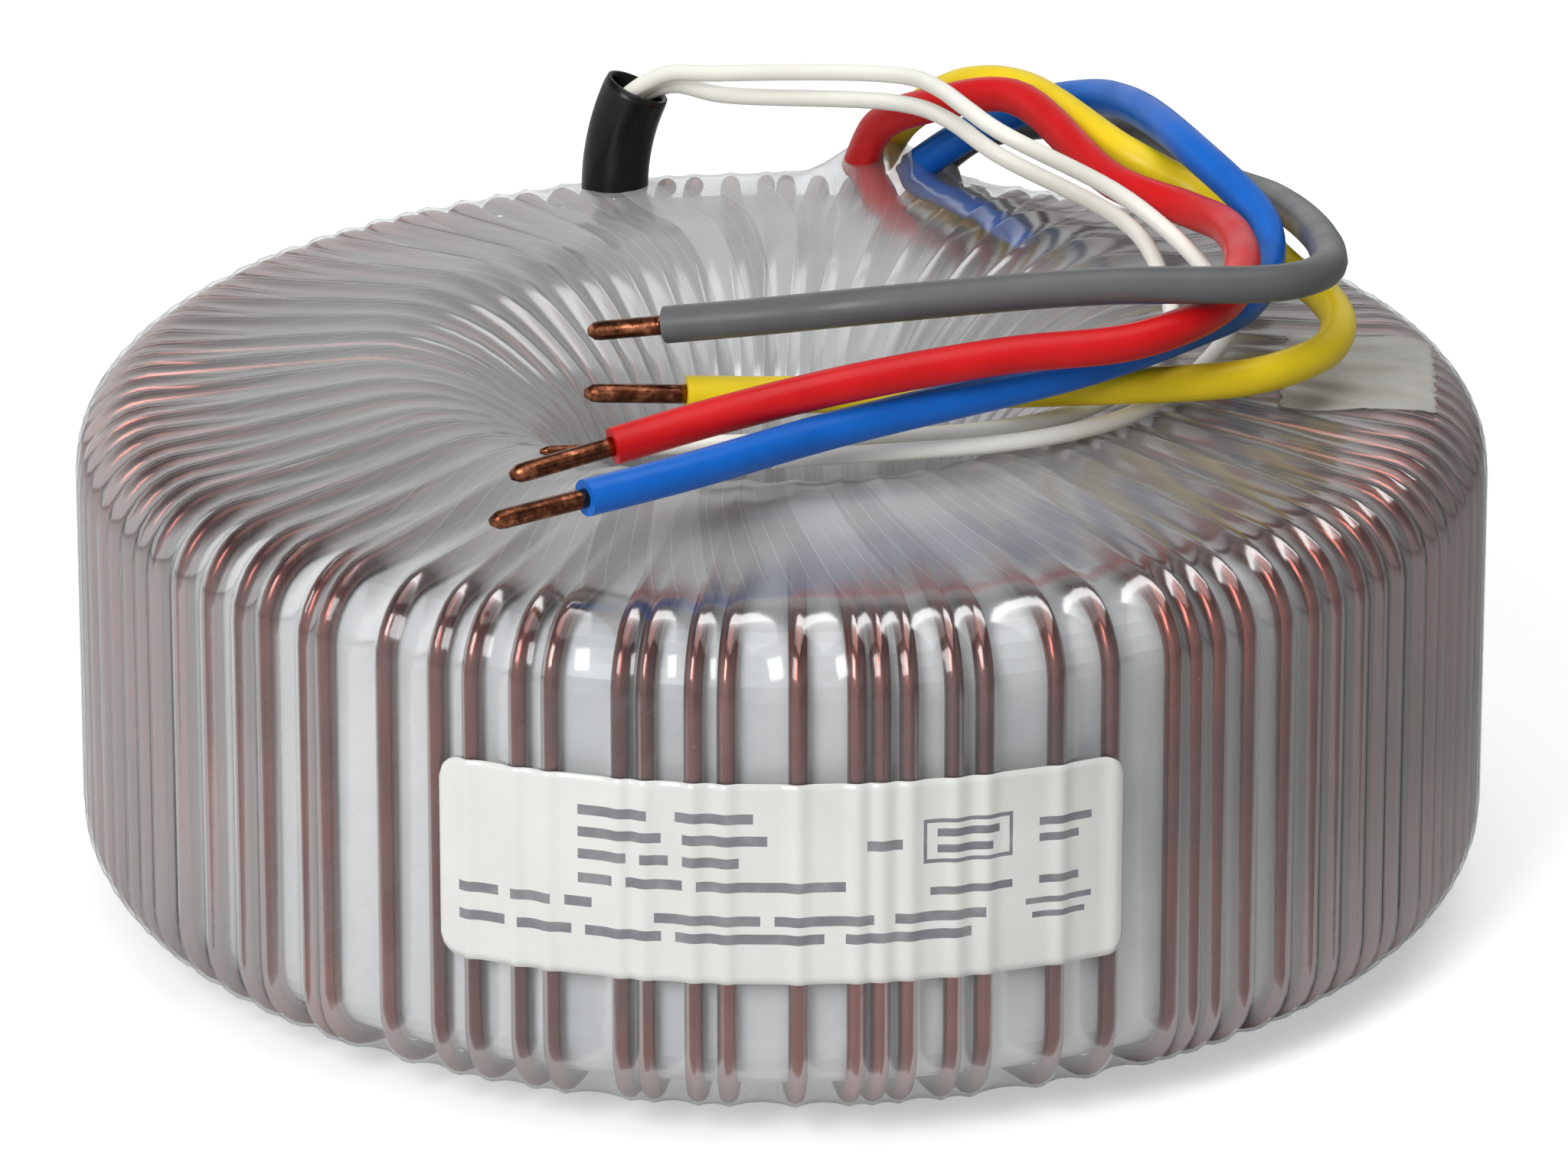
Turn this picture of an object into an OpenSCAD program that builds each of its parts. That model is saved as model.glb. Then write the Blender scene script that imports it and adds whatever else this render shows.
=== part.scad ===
// Toroidal transformer wrapped in clear film, standing flat on its lower face.
// Millimetres, Z up, the base at Z = 0 and the bore's axis on Z. The leads leave at the back, +Y.

/* [Body] */
// Diameter over the film
body_d = 162; // [150:1:180]
// Height from the base to the crest
body_h = 65; // [58:1:76]
// Diameter of the hole
hole_d = 44; // [38:1:48]
// Radius at which the top is highest
crest_r = 46; // [44:0.5:48]

/* [Windings] */
// Diameter of the secondary wire over its enamel
wire_d = 2.2; // [1.8:0.05:2.3]
// Turns in each of the two secondaries
turns = 54; // [40:1:58]
// Bend radius of the wire at the outer edge
edge_bend = 7.8; // [6:0.1:9]
// Unevenness of the turns round the back, in degrees
stray = 0.33; // [0:0.01:0.35]

/* [Wraps] */
// Thickness of the outer film
film_t = 0.35; // [0.25:0.05:0.6]
// Thickness of the film between the windings
inner_film_t = 0.6; // [0.4:0.1:1]
// Thickness of the tape round the core
core_wrap_t = 0.8; // [0.5:0.1:1.5]

/* [Primary] */
// Thickness of the primary winding over the core's ends
primary_end_t = 4.45; // [3:0.05:7]
// Thickness of the primary winding round the core's outside
primary_out_t = 2.65; // [2:0.05:5]
// Thickness of the primary winding over the core's inner corners
primary_corner_t = 0.9; // [0.6:0.05:2]

/* [Label] */
// Height of the label
label_h = 23.5; // [18:0.5:28]
// Half of the angle that the label covers
label_half = 27.5; // [20:0.5:32]

/* [Leads] */
// Diameter of the four power leads over their sleeves
lead_d = 4.2; // [3.6:0.1:4.8]
// Diameter of the power leads' bare ends
tip_d = 2.2; // [1.8:0.1:2.4]
// Diameter of the two white leads
thin_d = 2; // [1.8:0.1:2.4]
// Diameter of the white leads' bare ends
thin_tip_d = 1.2; // [1:0.1:1.4]
// Outer diameter of the black sleeve
sleeve_d = 8; // [7:0.1:9]
// Wall of the black sleeve
sleeve_wall = 0.7; // [0.5:0.1:1]

/* [Hidden] */

mid = body_h/2;
top = mid - film_t;
R_wire = body_d/2 - film_t - wire_d/2;
layer = wire_d + 0.1;
// [radius of the vertical run in the hole, height of the crest, bend radius in the hole, first spot]
in_a = hole_d/2 + 1.1 + wire_d/2;
WIND_A = [in_a, top - wire_d/2, crest_r - in_a, 0];
spots = turns + 1;
WIND_B = [in_a + layer, top - wire_d/2 - layer, crest_r - in_a - layer, 1];
bend_z = WIND_A[1] - WIND_A[2];
edge_z = mid - film_t - 3 - wire_d/2 - edge_bend;
join = 0.3;
slack = 0.02;
// gap between the sealed layers, and what lies between the lower secondary and the primary, and the core
gap = 0.2;
primary_g = 2*gap + inner_film_t;
grown = 2*gap + core_wrap_t;
// where the leads leave, in from the back of the body and at the crest's height, and the sleeve's lower end
EXIT = [0, body_d/2 - 16, body_h];
SEAT = EXIT + [-20, -3.5, -1];
// the sleeve's bend, how far it leans, and how far down its filling closes it
sleeve_r = 30;
lean = 25;
fill = 8;
// thickness of a tape patch and its gap over the film, and the same for the label
sheet_gap = 0.2;
tape_t = 0.15;
label_gap = 0.02;
label_t = 0.2;

// Angles of the wires round the outside, which lie by turns in the two windings: the start, then the front
// ones, uneven as wound by hand, and the end. FIRST is the spot of the first of those, out of ALL.
START = 104;
FIRST = 33;
ALL = 110;
FRONT = [213.2, 217.4, 221.6, 224.5, 229.1, 230.9, 237, 241.8, 244.9, 248.9, 251.6, 257.3, 259.3, 263.1, 265.7,
    271.3, 275.9, 277.8, 280, 283.6, 286.1, 292.1, 296.8, 302.6, 304.6, 306.9, 310, 314.1];
LAST = FIRST + len(FRONT) - 1;
PLACES = concat([[0, START]], [for (k = [0:len(FRONT) - 1]) [(FIRST + k)/ALL, FRONT[k]]], [[1, START + 360]]);
SPREAD = [[0, START], PLACES[1], PLACES[len(FRONT)], [1, START + 360]];
function place(j) = let(u = j/(2*spots), t = floor(u), k = j - t*2*spots)
    360*t + lookup(u - t, PLACES) + (u - t > FIRST/ALL - 0.001 && u - t < LAST/ALL + 0.001 ? 0
        : stray*(sin(k*77) + sin(k*131 + 40) + sin(k*29)));
function outer_a(w, i) = place(2*i + w[3]);
function inner_a(w, i) = let(u = (2*i + 1 + w[3])/(2*spots), t = floor(u)) 360*t + lookup(u - t, SPREAD);
function at(r, a) = [r*cos(a), r*sin(a), 0];

// angle of the straight run over the top, and the two ends of it, for a span of length s
function run_slope(w, s) = let(dx = s - w[2] - edge_bend, dz = bend_z - edge_z)
    atan2(dz, dx) + asin((w[2] - edge_bend)/norm([dx, dz]));

module wire(h) { translate([0, 0, -join]) cylinder(d = wire_d + slack, h = h + 2*join, $fn = 16); }
module bend(r, a) { rotate_extrude(angle = a, $fn = 48) translate([r, 0]) circle(d = wire_d, $fn = 16); }

// upper half of a turn in the XZ plane, from the outer vertical at X = 0 to the one in the hole at X = s
module half_turn(w, s) {
    a = run_slope(w, s);
    dx = s - w[2] - edge_bend;
    run = sqrt(dx*dx + pow(bend_z - edge_z, 2) - pow(w[2] - edge_bend, 2));
    translate([edge_bend, 0, edge_z]) rotate([90, 0, 0]) rotate([0, 0, 90 + a]) bend(edge_bend, 90 - a);
    translate([edge_bend*(1 - sin(a)), 0, edge_z + edge_bend*cos(a)]) rotate([0, 90 - a, 0]) wire(run);
    translate([s - w[2], 0, bend_z]) rotate([90, 0, 0]) bend(w[2], 90 + a);
}
module turn(w, i) {
    p = at(R_wire, outer_a(w, i));
    q = at(w[0], inner_a(w, i));
    n = at(R_wire, outer_a(w, i + 1));
    translate(p) rotate([0, 0, atan2(q[1] - p[1], q[0] - p[0])]) half_turn(w, norm(q - p));
    translate(n) rotate([0, 0, atan2(q[1] - n[1], q[0] - n[0])]) mirror([0, 0, 1]) half_turn(w, norm(q - n));
    translate([q[0], q[1], -bend_z]) wire(2*bend_z);
}
module winding(w) {
    translate([0, 0, mid]) {
        for (i = [0:turns - 1]) turn(w, i);
        for (i = [0:turns]) translate(at(R_wire, outer_a(w, i)) - [0, 0, edge_z]) wire(2*edge_z);
    }
}

// section of a sealed layer, g inside the lower secondary, as half of a closed outline
function arc(c, r, a0, a1, n) = [for (k = [0:n]) let(a = a0 + (a1 - a0)*k/n) c + r*[cos(a), sin(a)]];
function flip(v) = [for (k = [len(v) - 1:-1:0]) [v[k][0], -v[k][1]]];
function layer_half(g) = let(w = WIND_B, ri = w[2] - wire_d/2 - g, ro = edge_bend - wire_d/2 - g,
    ci = [crest_r, bend_z], co = [R_wire - edge_bend, edge_z])
    concat(arc(co, ro, 0, 90, 6), arc(ci, ri, 90, 180, 10));
function layer_outline(g) = let(h = layer_half(g)) concat(h, flip(h));
module layer_ring(outer, inner) {
    translate([0, 0, mid]) rotate_extrude($fn = 120) difference() {
        polygon(outer);
        polygon(inner);
    }
}
function box(x0, x1, h) = [[x0, -h], [x1, -h], [x1, h], [x0, h]];

// what the primary leaves free inside it, and the core, which fills that less its wrap, grown by g
inner_bend = WIND_B[2] - wire_d/2 - primary_g;
inside_h = bend_z + inner_bend - primary_end_t;
inside_out = R_wire - wire_d/2 - primary_g - primary_out_t;
inside_in = crest_r - sqrt(pow(inner_bend - primary_corner_t, 2) - pow(inside_h - bend_z, 2));
function core_box(g) = box(inside_in + grown - g, inside_out - grown + g, inside_h - grown + g);

module core() color("slategray") let(c = core_box(0)) translate([0, 0, mid - c[2][1]]) difference() {
    cylinder(r = c[1][0], h = 2*c[2][1], $fn = 120);
    translate([0, 0, -c[2][1]]) cylinder(r = c[0][0], h = 4*c[2][1], $fn = 120);
}
module core_wrap() color("ivory") layer_ring(core_box(gap + core_wrap_t), core_box(gap));
module primary_winding() color("peru") layer_ring(layer_outline(primary_g), core_box(grown));
module interwinding_film() color("white") layer_ring(layer_outline(gap), layer_outline(gap + inner_film_t));
module secondary_a() color("sienna") winding(WIND_A);
module secondary_b() color("sienna") winding(WIND_B);

// The outer film. Spot j round the outside is over winding A when even and over B when odd. It follows the
// wire's own path: side 1 goes over the top, side -1 under the bottom. e is the height over the wire.
function wind(j) = j % 2 == 0 ? WIND_A : WIND_B;
function turn_of(j) = floor(j/2);
function spot(j, k, e, side) = let(w = wind(j), i = turn_of(j), p = at(R_wire, outer_a(w, i)),
    q = at(w[0], inner_a(w, side > 0 ? i : i - 1)), s = norm(q - p), d = (q - p)/s, a = run_slope(w, s),
    c = k < 4 ? [edge_bend, edge_z] : [s - w[2], bend_z],
    step = k < 4 ? (90 - a)/3 : (90 + a)/BENDS, b = k < 4 ? 180 - k*step : 90 + a - (k - 4)*step,
    r = ((k < 4 ? edge_bend : w[2]) + e)/((k == 0 || k == 4 + BENDS) ? 1 : cos(step/2)))
    p + d*(c[0] + r*cos(b)) + [0, 0, side*(c[1] + r*sin(b))];
// one ring of the film's skin: ridges over the wires and dips between them
BENDS = 5;
function film_ring(k, e, side, dip) = let(m = k < 4 ? 1 : 2, n = 2*spots/m, turned = side > 0 ? 0 : 2)
    [for (h = [0:n - 1]) let(j = (h*m + turned) % (2*spots), v = (j + m) % (2*spots), a = spot(j, k, e, side),
        g = dip*norm(a - spot(v, k, e, side))/2)
        each [a, (spot(j, k, e - g, side) + spot(v, k, e - g, side))/2]];
// the film stands up over the place where the leads come out, and a little round the sleeve
function hump(a, at0, wide, h) = h*exp(-pow((a - at0)/wide, 2));
function raised(v, k) = [for (p = v) let(a = atan2(p[1], p[0]))
    p + [0, 0, k == 3 ? hump(a, 79, 9, 2.8) : k == 4 ? hump(a, 58, 10, 1.6)
        : hump(a, 78, 9, 5) + hump(a, 108, 6, 2.3)]];
function between(a, b, f) = [for (h = [0:len(a) - 1]) let(g = h/2, q = floor(g), m = len(b))
    a[h]*(1 - f) + f*(g == q ? b[q] : (b[q] + b[(q + 1) % m])/2)];
function extra(k) = k < 4 + BENDS - 2 ? 0 : (k - 3 - BENDS + 2)*0.52;
function upper(e, thick) = [for (k = [0:4 + BENDS]) film_ring(k, e + thick*extra(k), 1, 0.2)];
function skin(e, thick) = let(u = upper(e, thick)) concat(
    thick == 0 ? u : concat([u[0], u[1], u[2], raised(u[3], 3), raised(between(u[3], u[4], 0.42), 5),
        raised(u[4], 4)], [for (k = [5:4 + BENDS]) u[k]]),
    [for (k = [4 + BENDS:-1:0]) film_ring(k, e + thick*extra(k), -1, k == 4 || k == 5 ? 0.05 : 0.2)]);
// faces between two rings that start at points a and b, of n and m points, the second turned by t points
function strip(a, n, b, m, t) = n == m ? [for (h = [0:n - 1]) let(h1 = (h + 1) % n)
        each [[a + h, a + h1, b + (h + t) % n], [a + h1, b + (h1 + t) % n, b + (h + t) % n]]]
    : n > m ? [for (h = [0:m - 1]) let(h1 = (h + 1) % m, g = 2*h)
        each [[a + g, a + g + 1, b + h], [a + g + 1, b + h1, b + h], [a + g + 1, a + (g + 2) % n, b + h1]]]
    : [for (h = [0:n - 1]) let(h1 = (h + 1) % n, g = 2*h)
        each [[a + h, b + g + 1, b + g], [a + h, a + h1, b + g + 1], [a + h1, b + (g + 2) % m, b + g + 1]]];
function sums(v, i = 0, s = 0) = i == len(v) ? [s] : concat([s], sums(v, i + 1, s + v[i]));
function skin_faces(rings, base) = let(n = len(rings), lens = [for (r = rings) len(r)], at0 = sums(lens))
    [for (k = [0:n - 1]) let(k1 = (k + 1) % n)
        each strip(base + at0[k], lens[k], base + at0[k1], lens[k1], k1 == 0 ? 4 : 0)];
function flat(v) = [for (r = v) each r];
function turned_round(f) = [for (t = f) [t[0], t[2], t[1]]];
module skin_solid(e, thick) {
    r = skin(e, thick);
    translate([0, 0, mid]) polyhedron(flat(r), turned_round(skin_faces(r, 0)));
}
module film_wrap() color("whitesmoke", 0.35) difference() {
    skin_solid(wire_d/2 + 0.05 + film_t, 1);
    skin_solid(wire_d/2 + 0.05, 0);
    translate([0, 0, -body_h]) cylinder(d = hole_d, h = 3*body_h, $fn = 120);
    translate([0, 0, -body_h]) cylinder(d = body_d, h = body_h, $fn = 120);
    translate(SEAT - [0, 0, slack]) cylinder(d = sleeve_d + 0.2, h = sleeve_d, $fn = 48);
}

// Leads: each route is a list of points from EXIT, in the order from the body to the far end.
function route(v) = [for (p = v) EXIT + p];
RED = route([[9.2, -4, 1.8], [11.7, -9.8, 9], [17.5, -17.5, 14], [27, -23, 17], [38.5, -43, 13.2],
    [47, -52, 12.8], [51, -60.5, 13.6], [52, -77.5, 14.6], [48.5, -91.5, 14.6], [39, -100.8, 14.1],
    [25, -105.4, 14.1], [8, -110.6, 12.8], [-6, -115, 10.8], [-18.5, -119.5, 8.6]]);
BLUE = route([[15.8, -3.2, 1.2], [21.5, -6.3, 6.3], [29.4, -5.8, 9.9], [36.5, -11.2, 13], [41, -20.5, 15.2],
    [47.7, -41, 16.4], [55, -55, 12.9], [55.6, -62.2, 10.9], [52.6, -75.8, 9.8], [45.6, -86.3, 10.1],
    [33.4, -97.4, 9.6], [6.3, -111.9, 7.9], [-11, -126, 7.8], [-21.3, -132.8, 7.5]]);
YELLOW = route([[11.6, 1.5, 1], [14.8, -3.4, 7.6], [22, -10.5, 14.3], [28.7, -16.3, 15.7], [40, -33, 13.4],
    [49.7, -37, 9], [58.4, -56.4, 7], [62, -62.8, 6.1], [63.4, -70, 5.5], [61.9, -77.7, 5.1],
    [57.5, -83.8, 5.1], [51.2, -87.8, 5], [28.8, -92.6, 5.6], [0.5, -91.9, 4.6], [-10.7, -93.3, 5.2]]);
GREY = route([[18.6, 1.5, 0.6], [24, 1, 4.5], [38.5, 3.3, 5.3], [43, 1, 5.3], [51, -17, 5],
    [58, -37.5, 8.7], [61.8, -73.5, 15.4], [60.5, -87, 17.5], [55.3, -94, 18.6], [34.4, -97, 19.2],
    [8.8, -98.5, 17.4], [-0.8, -96, 15.5], [-13, -93, 13.3]]);
MOUTH = [sin(fill), 0, cos(fill)];
function in_sleeve(a, b) = SEAT + sleeve_r*[1 - cos(fill), 0, sin(fill)]
    + [a*cos(fill), b, -a*sin(fill)];
WHITE_1 = concat([in_sleeve(-1, -1.2), in_sleeve(-1, -1.2) + 6*MOUTH], route([[-14.5, -7, 14.2],
    [-8, -11.5, 16], [13.4, -27.3, 21], [18.6, -38.4, 22.8], [25, -50.4, 21.8], [40, -52, 14],
    [48.6, -58.5, 7.9], [51.5, -66, 4.6], [42.5, -85.5, 1.6], [29.7, -98.5, 2], [-1, -108, 2.7]]));
WHITE_2 = concat([in_sleeve(1, 1.2), in_sleeve(1, 1.2) + 6*MOUTH], route([[-13.5, -4.5, 12.2],
    [-7, -10.5, 13], [13.7, -29, 18.1], [19.6, -40.5, 19.7], [25, -47.6, 18], [40.6, -49.5, 9.6],
    [44, -53.5, 4.8], [44.3, -65, 2.5], [36.7, -85.7, 1.8], [24.4, -95.2, 1.8], [-17, -104.4, 2.9]]));

function unit(v) = v/norm(v);
function heading(p, k) = k == 0 ? unit(p[1] - p[0]) : k == len(p) - 1 ? unit(p[k] - p[k - 1])
    : unit(unit(p[k] - p[k - 1]) + unit(p[k + 1] - p[k]));
// sideways directions carried along a route without twisting
function carry(p, k = 1, v = [undef]) = let(
        first = unit(cross(heading(p, 0), [0.3, 0.2, 1])), w = k == 1 ? [first] : v)
    k == len(p) ? w : carry(p, k + 1, concat(w, [let(h = heading(p, k), a = w[k - 1]) unit(a - h*(a*h))]));
module swept(p, d, sides) {
    side = carry(p);
    n = len(p);
    pts = [for (k = [0:n - 1]) let(h = heading(p, k), a = side[k], b = cross(h, a))
        for (s = [0:sides - 1]) p[k] + d/2*(a*cos(s*360/sides) + b*sin(s*360/sides))];
    polyhedron(pts, concat([[for (s = [0:sides - 1]) s]],
        [for (k = [0:n - 2], s = [0:sides - 1]) let(t = (s + 1) % sides, c = k*sides)
            each [[c + s, c + sides + t, c + t], [c + s, c + sides + s, c + sides + t]]],
        [[for (s = [sides - 1:-1:0]) (n - 1)*sides + s]]));
}
// bare end of a lead, straight on from its last stretch, with a nipped edge
module tip(p, d, length) {
    n = len(p);
    h = unit(p[n - 1] - p[n - 2]);
    translate(p[n - 1]) rotate([0, acos(h[2]), atan2(h[1], h[0])]) {
        cylinder(d = d, h = length - d/4, $fn = 24);
        translate([0, 0, length - d/4]) cylinder(d1 = d, d2 = d*0.6, h = d/4, $fn = 24);
    }
}
module red_lead() color("red") swept(RED, lead_d, 10);
module blue_lead() color("royalblue") swept(BLUE, lead_d, 10);
module yellow_lead() color("gold") swept(YELLOW, lead_d, 10);
module grey_lead() color("dimgray") swept(GREY, lead_d, 10);
module white_lead_1() color("ivory") swept(WHITE_1, thin_d, 8);
module white_lead_2() color("ivory") swept(WHITE_2, thin_d, 8);
module red_tip() color("chocolate") tip(RED, tip_d, 12);
module blue_tip() color("chocolate") tip(BLUE, tip_d, 12);
module yellow_tip() color("chocolate") tip(YELLOW, tip_d, 11.5);
module grey_tip() color("chocolate") tip(GREY, tip_d, 9);
module white_tip_1() color("chocolate") tip(WHITE_1, thin_tip_d, 7);
module white_tip_2() color("chocolate") tip(WHITE_2, thin_tip_d, 10);

// black sleeve, leaning to the right as it rises, closed by its filling some way below the mouth
module sleeve_bend(d, a0, a) rotate([90, 0, 0]) rotate([0, 0, a0]) rotate_extrude(angle = a, $fn = 72)
    translate([sleeve_r, 0]) circle(d = d, $fn = 48);
module lead_sleeve() color("black") translate(SEAT + [sleeve_r, 0, 0]) difference() {
    sleeve_bend(sleeve_d, 180 - lean, lean);
    sleeve_bend(sleeve_d - 2*sleeve_wall, 178 - lean, lean - fill + 2);
}

// label and tape, thin sheets that lie on the film's ridges
film_r = R_wire + wire_d/2 + 0.05 + film_t;
function rounded(w, h, r) = concat(arc([w - r, h - r], r, 0, 90, 4), arc([r - w, h - r], r, 90, 180, 4),
    arc([r - w, r - h], r, 180, 270, 4), arc([w - r, r - h], r, 270, 360, 4));
module label() color("white") intersection() {
    rotate([0, 0, 270 - label_half - 3]) rotate_extrude(angle = 2*label_half + 6, $fn = 120)
        translate([film_r + label_gap, mid - label_h]) square([label_t, 2*label_h]);
    translate([0, 0, mid]) rotate([90, 0, 0])
        linear_extrude(body_d) polygon(rounded(film_r*sin(label_half), label_h/2, 2.5));
}
function tape_line(e) = let(w = WIND_A, s = R_wire - w[0], a = run_slope(w, s), step = (90 - a)/3)
    concat([for (k = [2, 3]) let(b = 180 - k*step, r = (edge_bend + e)/cos(step/2))
        [R_wire - edge_bend - r*cos(b), edge_z + r*sin(b)]],
        [[crest_r + 11, bend_z + (w[2] + e)/cos((90 + a)/BENDS/2) - 11*tan(a)]]);
module tape_patch() color("wheat", 0.8) rotate([0, 0, -15]) translate([0, 0, mid])
    rotate_extrude(angle = 25, $fn = 120) {
        low = tape_line(wire_d/2 + 0.05 + film_t + sheet_gap);
        high = tape_line(wire_d/2 + 0.05 + film_t + sheet_gap + tape_t);
        polygon(concat(low, [for (k = [2:-1:0]) high[k]]));
    }

core();
core_wrap();
primary_winding();
interwinding_film();
secondary_a();
secondary_b();
film_wrap();
label();
tape_patch();
lead_sleeve();
red_lead();
blue_lead();
yellow_lead();
grey_lead();
white_lead_1();
white_lead_2();
red_tip();
blue_tip();
yellow_tip();
grey_tip();
white_tip_1();
white_tip_2();
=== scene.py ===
import math
from collections import namedtuple

import bpy
import numpy as np
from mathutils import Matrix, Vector
from mathutils.bvhtree import BVHTree


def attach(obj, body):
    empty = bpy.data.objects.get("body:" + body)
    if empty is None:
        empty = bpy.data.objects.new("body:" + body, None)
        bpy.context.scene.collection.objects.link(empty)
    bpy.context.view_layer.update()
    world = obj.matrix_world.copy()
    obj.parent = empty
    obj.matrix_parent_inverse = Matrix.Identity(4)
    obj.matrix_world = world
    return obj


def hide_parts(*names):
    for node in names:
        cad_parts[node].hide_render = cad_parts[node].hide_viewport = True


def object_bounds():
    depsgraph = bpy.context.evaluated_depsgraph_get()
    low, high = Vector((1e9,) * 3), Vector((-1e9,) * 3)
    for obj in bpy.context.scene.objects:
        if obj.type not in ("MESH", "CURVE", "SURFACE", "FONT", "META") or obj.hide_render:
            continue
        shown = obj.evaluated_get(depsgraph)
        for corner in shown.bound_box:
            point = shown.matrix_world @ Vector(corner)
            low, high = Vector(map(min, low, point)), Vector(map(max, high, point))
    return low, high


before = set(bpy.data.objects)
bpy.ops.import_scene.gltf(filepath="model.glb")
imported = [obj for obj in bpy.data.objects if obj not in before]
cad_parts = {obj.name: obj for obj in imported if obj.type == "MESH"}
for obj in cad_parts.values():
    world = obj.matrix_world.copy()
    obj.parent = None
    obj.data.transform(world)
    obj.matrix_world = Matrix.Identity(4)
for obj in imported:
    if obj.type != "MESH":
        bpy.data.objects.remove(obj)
cad_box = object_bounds()
MM = 0.001  # lengths below are in millimetres; Blender's unit is the metre
rad = math.radians

# ---------------------------------------------------------------- camera
TILT, REACH = math.radians(21.1), 1.244
AIM = np.array([0.0, 0.0, 0.0325])
cam_data = bpy.data.cameras.new("camera")
cam_data.sensor_width, cam_data.lens = 36.0, 247.0
cam_data.shift_x, cam_data.shift_y = 0.0015, 0.0186
cam_data.clip_start, cam_data.clip_end = 0.05, 20.0
cam = bpy.data.objects.new("camera", cam_data)
cam.location = AIM + REACH * np.array([0, -math.cos(TILT), math.sin(TILT)])
cam.rotation_euler = (math.pi / 2 - TILT, 0, 0)
bpy.context.scene.collection.objects.link(cam)
bpy.context.scene.camera = cam


# ---------------------------------------------------------------- helpers
def link(obj):
    bpy.context.scene.collection.objects.link(obj)
    return obj


def mesh_piece(name, verts, faces, mat, attrs=None):
    """A smooth-shaded piece on the root body; attrs are values for each point that its material reads."""
    me = bpy.data.meshes.new(name)
    points = [tuple(v) for v in np.asarray(verts, float) * MM]
    me.from_pydata(points, [], [tuple(int(i) for i in f) for f in faces])
    me.validate()
    me.polygons.foreach_set("use_smooth", [True] * len(me.polygons))
    for key, vals in (attrs or {}).items():
        a = me.attributes.new(key, "FLOAT", "POINT")
        a.data.foreach_set("value", np.asarray(vals, float).astype(np.float32))
    me.materials.append(mat)
    me.update()
    obj = link(bpy.data.objects.new(name, me))
    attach(obj, "root")
    return obj


def unit(v):
    return v / np.linalg.norm(v)


def hump(x, centre, wide, height=1.0, power=2):
    """A smooth bump in x: round for power 2, flat-topped for power 4."""
    return height * np.exp(-(((x - centre) / wide) ** power))


def spline(points, n=8):
    """Points on a smooth curve (centripetal Catmull-Rom) through the route's points."""
    p = np.array(points, float)
    q = np.vstack([2 * p[0] - p[1], p, 2 * p[-1] - p[-2]])
    out = []
    for i in range(1, len(q) - 2):
        p0, p1, p2, p3 = q[i - 1 : i + 3]
        k = [0.0]
        for a, b in ((p0, p1), (p1, p2), (p2, p3)):
            k.append(k[-1] + max(np.linalg.norm(b - a), 1e-6) ** 0.5)
        for t in k[1] + (k[2] - k[1]) * np.arange(n) / n:
            a1 = ((k[1] - t) * p0 + (t - k[0]) * p1) / (k[1] - k[0])
            a2 = ((k[2] - t) * p1 + (t - k[1]) * p2) / (k[2] - k[1])
            a3 = ((k[3] - t) * p2 + (t - k[2]) * p3) / (k[3] - k[2])
            b1 = ((k[2] - t) * a1 + (t - k[0]) * a2) / (k[2] - k[0])
            b2 = ((k[3] - t) * a2 + (t - k[1]) * a3) / (k[3] - k[1])
            out.append(((k[2] - t) * b1 + (t - k[1]) * b2) / (k[2] - k[1]))
    return np.array(out + [p[-1]])


def loft_faces(rings, sides, clockwise=False):
    """Quads between a tube's rings of points and a cap at each end; clockwise if the rings run that way."""
    faces = []
    for k in range(rings - 1):
        for s in range(sides):
            a, b = k * sides + s, k * sides + (s + 1) % sides
            faces.append((a, a + sides, b + sides, b) if clockwise else (a, b, b + sides, a + sides))
    first, last = tuple(range(sides)), tuple(range((rings - 1) * sides, rings * sides))
    return faces + ([first, last[::-1]] if clockwise else [first[::-1], last])


def circle(sides):
    """Angles of the points round one ring of a tube."""
    return np.arange(sides) * 2 * math.pi / sides


def tube(path, radii, sides):
    """Vertices and faces of a tube along a path, with a radius for each point."""
    path = np.asarray(path, float)
    d = np.gradient(path, axis=0)
    d /= np.linalg.norm(d, axis=1)[:, None]
    side = unit(np.cross(d[0], [0.3, 0.2, 1.0]))  # any start direction that is across the path
    ang = circle(sides)
    verts = []
    for p, h, r in zip(path, d, radii):
        side = unit(side - h * side.dot(h))
        up = np.cross(h, side)
        verts.append(p + r * (np.cos(ang)[:, None] * side + np.sin(ang)[:, None] * up))
    return np.vstack(verts), loft_faces(len(path), sides)


# ---------------------------------------------------------------- materials
def material(name):
    m = bpy.data.materials.new(name)
    m.use_nodes = True
    m.node_tree.nodes.clear()
    return m, m.node_tree


def node(nt, kind, **sets):
    """A shader node; each keyword sets the input of that name, or else the node's own setting."""
    n = nt.nodes.new(kind)
    for k, v in sets.items():
        if hasattr(n, k) and k not in n.inputs:
            setattr(n, k, v)
        else:
            n.inputs[k].default_value = v
    return n


def noise(nt, scale, detail=3.0, rough=0.5):
    """Noise in the object's own coordinates, scale per metre."""
    n = node(nt, "ShaderNodeTexNoise", Scale=scale, Detail=detail, Roughness=rough)
    nt.links.new(node(nt, "ShaderNodeTexCoord").outputs["Object"], n.inputs["Vector"])
    return n.outputs["Fac"]


def grey(value):
    return (value,) * 3


def ramp(nt, fac, stops):
    r = node(nt, "ShaderNodeValToRGB")
    cr = r.color_ramp
    while len(cr.elements) < len(stops):
        cr.elements.new(0.5)
    for e, (pos, col) in zip(cr.elements, stops):
        e.position, e.color = pos, (*col, 1.0)
    nt.links.new(fac, r.inputs["Fac"])
    return r.outputs["Color"]


def bump(nt, height, strength, distance):
    b = node(nt, "ShaderNodeBump", Strength=strength, Distance=distance)
    nt.links.new(height, b.inputs["Height"])
    return b.outputs["Normal"]


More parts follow.
